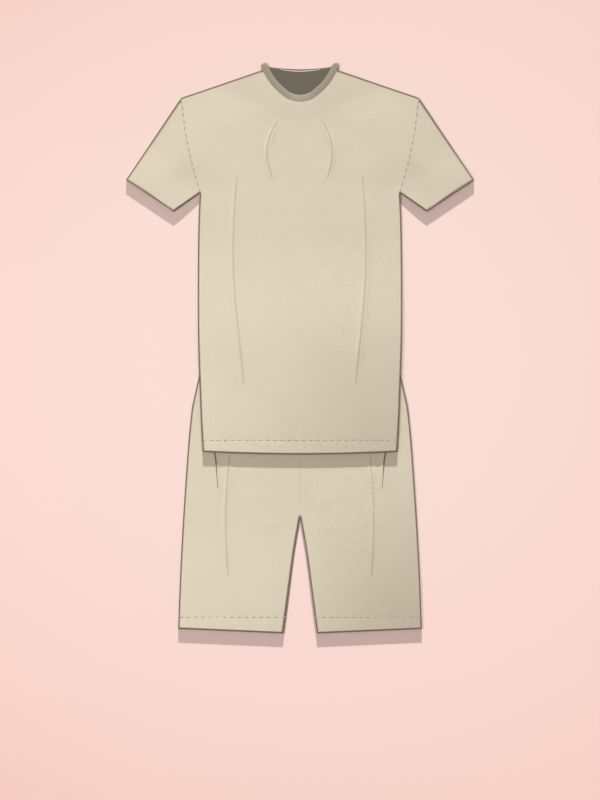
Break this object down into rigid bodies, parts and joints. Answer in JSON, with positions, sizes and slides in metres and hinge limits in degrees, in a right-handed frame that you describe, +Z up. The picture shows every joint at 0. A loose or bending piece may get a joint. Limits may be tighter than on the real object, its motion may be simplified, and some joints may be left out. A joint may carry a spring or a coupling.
{
  "type": "co-ord set of top and shorts",
  "caption": "Co-ord set laid flat: crew-neck short-sleeved tunic top over the waist of matching wide knee-length shorts, in beige cloth.",
  "frame": {"origin": "On the surface the set lies on, on its mirror line, half way between the top of the neckband and the lowest hem of the shorts.", "axes": "+X is the wearer's left, +Y runs from the hems to the neck, +Z is up, out of the front of the set."},
  "size_m": [0.783, 1.2836, 0.0082],
  "materials": {
    "body_cloth": "matt",
    "neck_rib": "matt",
    "facing_cloth": "matt"
  },
  "bodies": {
    "root": {"top_front": "body_cloth", "top_back": "body_cloth", "sleeve_left": "body_cloth", "sleeve_right": "body_cloth", "shorts_front_left": "body_cloth", "shorts_front_right": "body_cloth", "shorts_back_left": "body_cloth", "shorts_back_right": "body_cloth", "waistband": "body_cloth", "pocket_welt_left": "body_cloth", "pocket_welt_right": "body_cloth", "neckband": "neck_rib", "neck_facing": "facing_cloth"}
  },
  "joints": []
}
